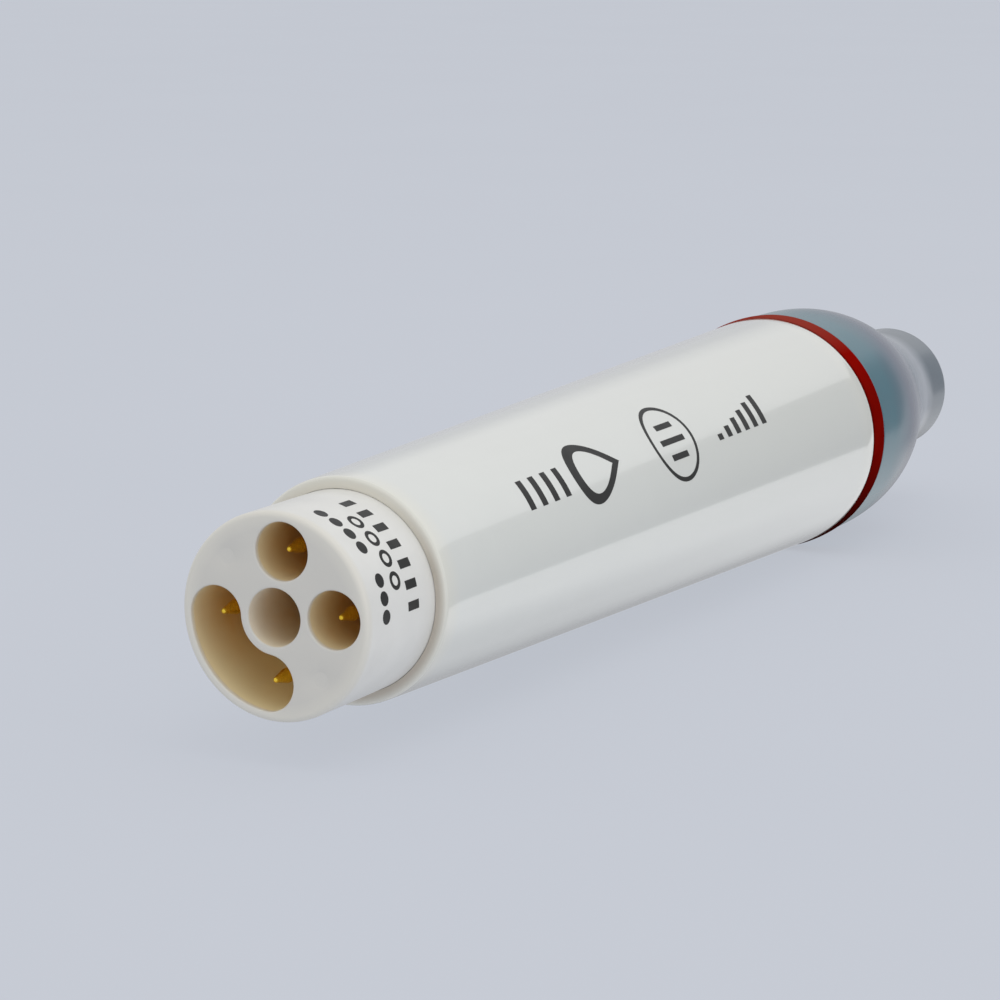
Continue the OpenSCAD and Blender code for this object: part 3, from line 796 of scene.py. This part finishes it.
def build_neck():
    """Threaded neck with a land under the ring, and a shelf inside for the lamp board."""
    land, land_end = 7.6 * MM, SHELL_Y1 + 2.85 * MM
    thread, chamfer = 7.4 * MM, 0.4 * MM
    room, room_end = 7.2 * MM, 79 * MM
    bore, waist, shelf_y = 5.9 * MM, 5.3 * MM, 86 * MM
    rows = [(room, NECK_Y0), (NECK_R, NECK_Y0), (NECK_R, SHELL_Y1), (land, SHELL_Y1)]
    rows += [(land, land_end), (thread, land_end)]
    count = int((NECK_Y1 - land_end) / (0.07 * MM))
    rows += [(thread, y) for y in steps(land_end, NECK_Y1 - chamfer, count)[1:]]
    rows += [(thread - chamfer, NECK_Y1), (bore, NECK_Y1), (bore, shelf_y)]
    rows += [(waist, shelf_y), (waist, room_end), (room, room_end)]
    warp = thread_warp(land_end, NECK_Y1 + chamfer, thread, 0.5 * MM, 1.0 * MM)
    neck = lathe("threaded_neck", rows, sides=144, warp=warp)
    place(neck, "handle", MATERIALS["neck_steel"], "neck_steel", "front_neck")


def build_pipe():
    """Light guide: a flange, a taper and a narrow nose with a groove inside for the wiper."""
    wide, nose, inner, flange = 5.7 * MM, 4.2 * MM, 3.15 * MM, 5.88 * MM
    taper_y0, taper_y1 = 97 * MM, 103.5 * MM
    gap, edge, mouth_round = 0.02 * MM, 0.25 * MM, 0.15 * MM
    groove, groove_y0, groove_y1 = WIPER_R + gap, WIPER_Y0 - gap, WIPER_Y1 + gap
    rows = [(inner, PIPE_Y0), (flange, PIPE_Y0), (flange, PIPE_Y0 + 2.3 * MM)]
    for t in steps(0, 1, 20):
        rows.append((nose + (wide - nose) * blend(t), taper_y0 + (taper_y1 - taper_y0) * t))
    rows += arc(nose - edge, PIPE_Y1 - edge, edge, 0, 90, 5)
    rows += arc(inner + mouth_round, PIPE_Y1 - mouth_round, mouth_round, 90, 180, 4)
    rows += [(inner, groove_y1), (groove, groove_y1), (groove, groove_y0), (inner, groove_y0)]
    pipe = lathe("light_guide", rows, sides=160)
    place(pipe, "handle", MATERIALS["clear_pipe"], "clear_pipe", "light_pipe")


def horn_base_rows():
    """The horn's bolt hole, its stack face and its node flange."""
    node, node_y0, node_y1 = 5.9 * MM, 67 * MM, 69 * MM
    bevel, root = 0.1 * MM, 0.2 * MM
    rows = [(BOLT_HOLE_R, HORN_Y0), (STACK_R, HORN_Y0), (STACK_R, node_y0 - root)]
    rows += [(node - bevel, node_y0), (node, node_y0 + bevel), (node, node_y1 - bevel)]
    return rows + [(node - bevel, node_y1), (STACK_R, node_y1 + root)]


def horn_cone_rows():
    """The horn's narrowing cone and its tip, with a groove and a rounded seat for the tool."""
    tip, cone_y0, cone_y1 = HORN_TIP_R, 70 * MM, 84 * MM
    groove, bevel, edge = 0.12 * MM, 0.1 * MM, 0.25 * MM
    groove_y0, groove_y1 = TIP_SEAT_Y - 1.2 * MM, TIP_SEAT_Y - 1.05 * MM
    rows = []
    for t in steps(0, 1, 24):
        rows.append((tip + (STACK_R - tip) * blend(t), cone_y0 + (cone_y1 - cone_y0) * t))
    rows += [(tip, groove_y0 - bevel), (tip - groove, groove_y0)]
    rows += [(tip - groove, groove_y1), (tip, groove_y1 + bevel)]
    return rows + arc(tip - edge, TIP_SEAT_Y - edge, edge, 0, 90, 5)


def build_horn():
    """Horn with its node flange, water channel and threaded stub."""
    channel, channel_bevel = 0.6 * MM, 0.1 * MM
    root, root_end = STUB_R - 0.25 * MM, TIP_SEAT_Y + 0.3 * MM
    thread_y0, thread_y1 = TIP_SEAT_Y + 0.45 * MM, HORN_Y1 - 0.3 * MM
    run_out = 0.2 * MM
    rows = horn_base_rows() + horn_cone_rows()
    rows += [(root, TIP_SEAT_Y), (root, root_end)]
    rows += [(STUB_R, y) for y in steps(thread_y0, thread_y1, 60)]
    rows += [(STUB_R - 0.32 * MM, HORN_Y1), (channel + channel_bevel, HORN_Y1)]
    rows += [(channel, HORN_Y1 - channel_bevel), (channel, BOLT_HOLE_END_Y)]
    rows += [(BOLT_HOLE_R, BOLT_HOLE_END_Y)]
    warp = thread_warp(thread_y0 - run_out, HORN_Y1 + run_out, STUB_R, 0.33 * MM, 0.6 * MM)
    horn = lathe("horn_body", rows, sides=128, warp=warp)
    place(horn, "transducer", MATERIALS["titanium"], "titanium", "horn")


def build_horn_seal():
    """Silicone wiper round the horn, with two soft lips."""
    inner, edge, lip, lip_end = 2.68 * MM, 0.15 * MM, 0.35 * MM, 0.05 * MM
    rows = arc(WIPER_R - edge, WIPER_Y0 + edge, edge, 270, 360, 4)
    rows += arc(WIPER_R - edge, WIPER_Y1 - edge, edge, 0, 90, 4)
    rows += [(inner + lip, WIPER_Y1 - lip_end), (inner, WIPER_Y1 - lip)]
    rows += [(inner, WIPER_Y0 + lip), (inner + lip, WIPER_Y0 + lip_end)]
    seal = lathe("horn_wiper", rows, sides=96)
    place(seal, "handle", MATERIALS["white_silicone"], "white_silicone", "horn_seal")


build_ring()
build_cap()
build_neck()
build_pipe()
build_horn()
build_horn_seal()

# ---------------------------------------------------------------- printed marks

INK_T = 0.012 * MM
INK_LIFT = 0.001 * MM        # clears the surface under the ink


class Print:
    """Thin ink shapes laid on a surface of revolution. u runs along the axis, v round it."""

    def __init__(self, name, radius, angle):
        self.name, self.radius, self.angle = name, radius, angle
        self.bm = bmesh.new()

    def line(self, points, lift):
        """Vertices laid over (u, v) points, lifted off the surface."""
        vertices = []
        for u, v in points:
            r = self.radius(u)
            vertices.append(self.bm.verts.new(on_axis(r + lift, u, self.angle + v / r)))
        return vertices

    def strip(self, side_a, side_b, closed=False):
        """A closed thin solid between two lines of (u, v) points."""
        low_a, low_b = self.line(side_a, INK_LIFT), self.line(side_b, INK_LIFT)
        top_a, top_b = self.line(side_a, INK_T), self.line(side_b, INK_T)
        n = len(side_a)
        for i in range(n if closed else n - 1):
            j = (i + 1) % n
            self.bm.faces.new((top_a[i], top_a[j], top_b[j], top_b[i]))
            self.bm.faces.new((low_a[i], low_b[i], low_b[j], low_a[j]))
            self.bm.faces.new((low_a[i], low_a[j], top_a[j], top_a[i]))
            self.bm.faces.new((low_b[i], top_b[i], top_b[j], low_b[j]))
        if not closed:
            for i in (0, n - 1):
                self.bm.faces.new((low_a[i], top_a[i], top_b[i], low_b[i]))

    def bar(self, u0, u1, v0, v1):
        """A solid bar, in pieces short enough to follow the surface."""
        vs = steps(v0, v1, max(2, int(abs(v1 - v0) / (0.25 * MM))))
        self.strip([(u0, v) for v in vs], [(u1, v) for v in vs])

    def ring(self, u, v, outer, inner, n=48):
        self.strip(circle(u, v, outer, n), circle(u, v, inner, n), closed=True)

    def disc(self, u, v, r, n=36):
        """A solid dot."""
        low_centre, top_centre = self.line([(u, v)], INK_LIFT)[0], self.line([(u, v)], INK_T)[0]
        low, top = self.line(circle(u, v, r, n), INK_LIFT), self.line(circle(u, v, r, n), INK_T)
        for k in range(n):
            m = (k + 1) % n
            self.bm.faces.new((low_centre, low[m], low[k]))
            self.bm.faces.new((top_centre, top[k], top[m]))
            self.bm.faces.new((low[k], low[m], top[m], top[k]))

    def drop(self, u, v, size, width):
        """Outline of a water drop with its point towards the nose."""
        self.strip(drop_path(u, v, size), drop_path(u, v, size - width), closed=True)

    def done(self):
        piece = finish_mesh(self.bm, self.name)
        place(piece, "handle", MATERIALS["ink"], "white_shell")


def circle(u, v, r, n):
    return [(u + r * math.cos(FULL * k / n), v + r * math.sin(FULL * k / n)) for k in range(n)]


def drop_path(u, v, size, n=96):
    points = []
    for k in range(n):
        t = FULL * k / n
        half_width = 0.95 * size * abs(math.sin(t / 2)) ** 1.3
        points.append((u + size * math.cos(t), v + half_width * math.sin(t)))
    return points


def print_shell_marks():
    """Plain marks where the shell is printed: bars, a drop, a ring with bars, a level sign."""
    ink = Print("shell_marks", shell_r, math.radians(36))
    for i in range(4):
        u = (22.4 + 1.75 * i) * MM
        ink.bar(u, u + 0.75 * MM, -1.15 * MM, 1.15 * MM)
    ink.drop(33.4 * MM, 0, 3.6 * MM, 1.05 * MM)
    ring_u = 46 * MM
    ink.ring(ring_u, 0, 3.3 * MM, 2.95 * MM)
    for v in (-1.3, 0, 1.3):
        half = (1.9 - 0.45 * abs(v)) * MM
        ink.bar(ring_u - half, ring_u + half, (v - 0.24) * MM, (v + 0.24) * MM)
    for i in range(6):
        u = (53 + 1.6 * i) * MM
        ink.bar(u, u + 0.8 * MM, -1.3 * MM, (-0.8 + 0.42 * i) * MM)
    ink.done()


def print_barrel_marks():
    """Three rows of plain marks round the barrel: ticks, small rings and dots."""
    ink = Print("barrel_marks", lambda y: BARREL_R, math.radians(37))
    for i in range(7):
        v = (4.3 - 1.4 * i) * MM
        ink.bar(5.3 * MM, 6.7 * MM, v - 0.3 * MM, v + 0.3 * MM)
    for i in range(4):
        ink.ring(4.2 * MM, (2.5 - 1.55 * i) * MM, 0.62 * MM, 0.34 * MM, 28)
    for i in (0, 1, 2, 3, 5, 6, 7):
        ink.disc(2.4 * MM, (4.2 - 1.2 * i) * MM, 0.48 * MM)
    ink.done()


print_shell_marks()
print_barrel_marks()

# ---------------------------------------------------------------- stage, light and camera


def build_floor():
    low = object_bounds()[0]
    bpy.ops.mesh.primitive_plane_add(size=12, location=(0, 0, low.z))
    floor = bpy.context.active_object
    floor.name = "floor"
    floor.data.materials.append(MATERIALS["floor"])
    floor.visible_glossy = False


SKY_HIGH = (0.785, 0.79, 0.80)
SKY_DIM = (0.25, 0.26, 0.27)
SKY_AHEAD = (0.56, 0.57, 0.60)
SKY_LOW = (0.93, 0.935, 0.945)
SKY_DEEP = (0.58, 0.585, 0.60)
SKY_LEFT = (0.40, 0.405, 0.42)
SKY_BACK = (0.70, 0.705, 0.71)


class Sky(Nodes):
    """The world's node tree. x, y and z make up the direction that the light comes from."""

    def __init__(self):
        world = bpy.data.worlds.new("studio")
        world.use_nodes = True
        bpy.context.scene.world = world
        super().__init__(world.node_tree)
        direction = self.node("ShaderNodeSeparateXYZ")
        self.feed(self.node("ShaderNodeTexCoord").outputs["Generated"], direction.inputs["Vector"])
        self.x, self.y, self.z = (direction.outputs[axis] for axis in "XYZ")

    def rise(self, source, low, high):
        """Goes softly from 0 to 1 while the source goes from low to high."""
        return self.ramp(source, low, high, interpolation_type="SMOOTHSTEP")

    def fall(self, source, low, high):
        """Goes softly from 1 to 0 while the source goes from low to high."""
        return self.ramp(source, low, high, 1, 0, interpolation_type="SMOOTHSTEP")

    def slanted(self, a, b, lean):
        return self.combine("ADD", a, self.product(b, lean))

    def dim_patch(self):
        """A patch with three straight edges, beyond the nose on the right."""
        ahead = self.combine("MAXIMUM", self.y, 0.05)
        across = self.combine("DIVIDE", self.x, ahead)
        up = self.combine("DIVIDE", self.z, ahead)
        left_edge = self.rise(self.slanted(across, up, 0.4), 0.265, 0.295)
        bottom_edge = self.rise(self.slanted(up, across, 0.66), 0.09, 0.106)
        top_edge = self.fall(up, 0.338, 0.353)
        front = self.rise(self.y, 0.05, 0.15)
        return self.product(self.product(front, top_edge), self.product(left_edge, bottom_edge))

    def backdrop(self):
        """A level band straight ahead and to the left, as dull as the photograph's backdrop."""
        forward = self.product(self.rise(self.y, 0.3, 0.8), self.fall(self.x, 0.15, 0.3))
        level = self.product(self.rise(self.z, -0.3, -0.2), self.fall(self.z, 0.2, 0.4))
        return self.product(forward, level)


def build_world():
    """Soft studio surroundings, worked out from the photograph's reflections."""
    sky = Sky()
    colour = sky.tint(sky.rise(sky.z, -0.53, -0.37), SKY_DEEP, SKY_LOW)
    colour = sky.tint(sky.rise(sky.x, -0.3, 0.05), SKY_LEFT, colour)
    colour = sky.tint(sky.rise(sky.z, -0.1, 0.1), colour, SKY_HIGH)
    colour = sky.tint(sky.backdrop(), colour, SKY_AHEAD)
    colour = sky.tint(sky.rise(sky.y, -0.8, -0.1), SKY_BACK, colour)
    colour = sky.tint(sky.dim_patch(), colour, SKY_DIM)
    background = sky.tree.nodes["Background"]
    sky.feed(colour, background.inputs["Color"])
    sky.feed(1.0, background.inputs["Strength"])


def build_light(name, spot, size, energy):
    """A soft rectangular light aimed at the handpiece, unseen in reflections."""
    data = bpy.data.lights.new(name, "AREA")
    data.shape = "RECTANGLE"
    data.size, data.size_y = size
    data.energy = energy
    data.color = (1.0, 0.99, 0.97)
    light = bpy.data.objects.new(name, data)
    light.location = spot
    aim = Vector((0, 0.05, 0)) - light.location
    light.rotation_euler = aim.to_track_quat("-Z", "Y").to_euler()
    light.visible_glossy = False
    bpy.context.scene.collection.objects.link(light)


def build_camera():
    """The photograph's view: a long lens, 27 degrees to the right of the axis, a little above."""
    azimuth, elevation = math.radians(27.12), math.radians(10.51)
    distance = 0.25
    aim = Vector((-5.555, 42.486, 0.153)) * MM
    away = Vector((math.sin(azimuth) * math.cos(elevation),
                   -math.cos(azimuth) * math.cos(elevation), math.sin(elevation)))
    data = bpy.data.cameras.new("camera")
    data.sensor_width = 36
    data.lens = 118.8
    data.clip_start, data.clip_end = 0.01, 50
    camera = bpy.data.objects.new("camera", data)
    camera.location = aim + away * distance
    camera.rotation_euler = (-away).to_track_quat("-Z", "Y").to_euler()
    bpy.context.scene.collection.objects.link(camera)
    bpy.context.scene.camera = camera


build_floor()
build_world()
build_light("softbox", (0.2, -0.05, 0.6), (0.5, 0.35), 0.5)
build_light("side_panel", (0.6, 0.02, 0.12), (0.4, 0.4), 0.55)
build_camera()
bpy.context.scene.view_settings.view_transform = "Standard"
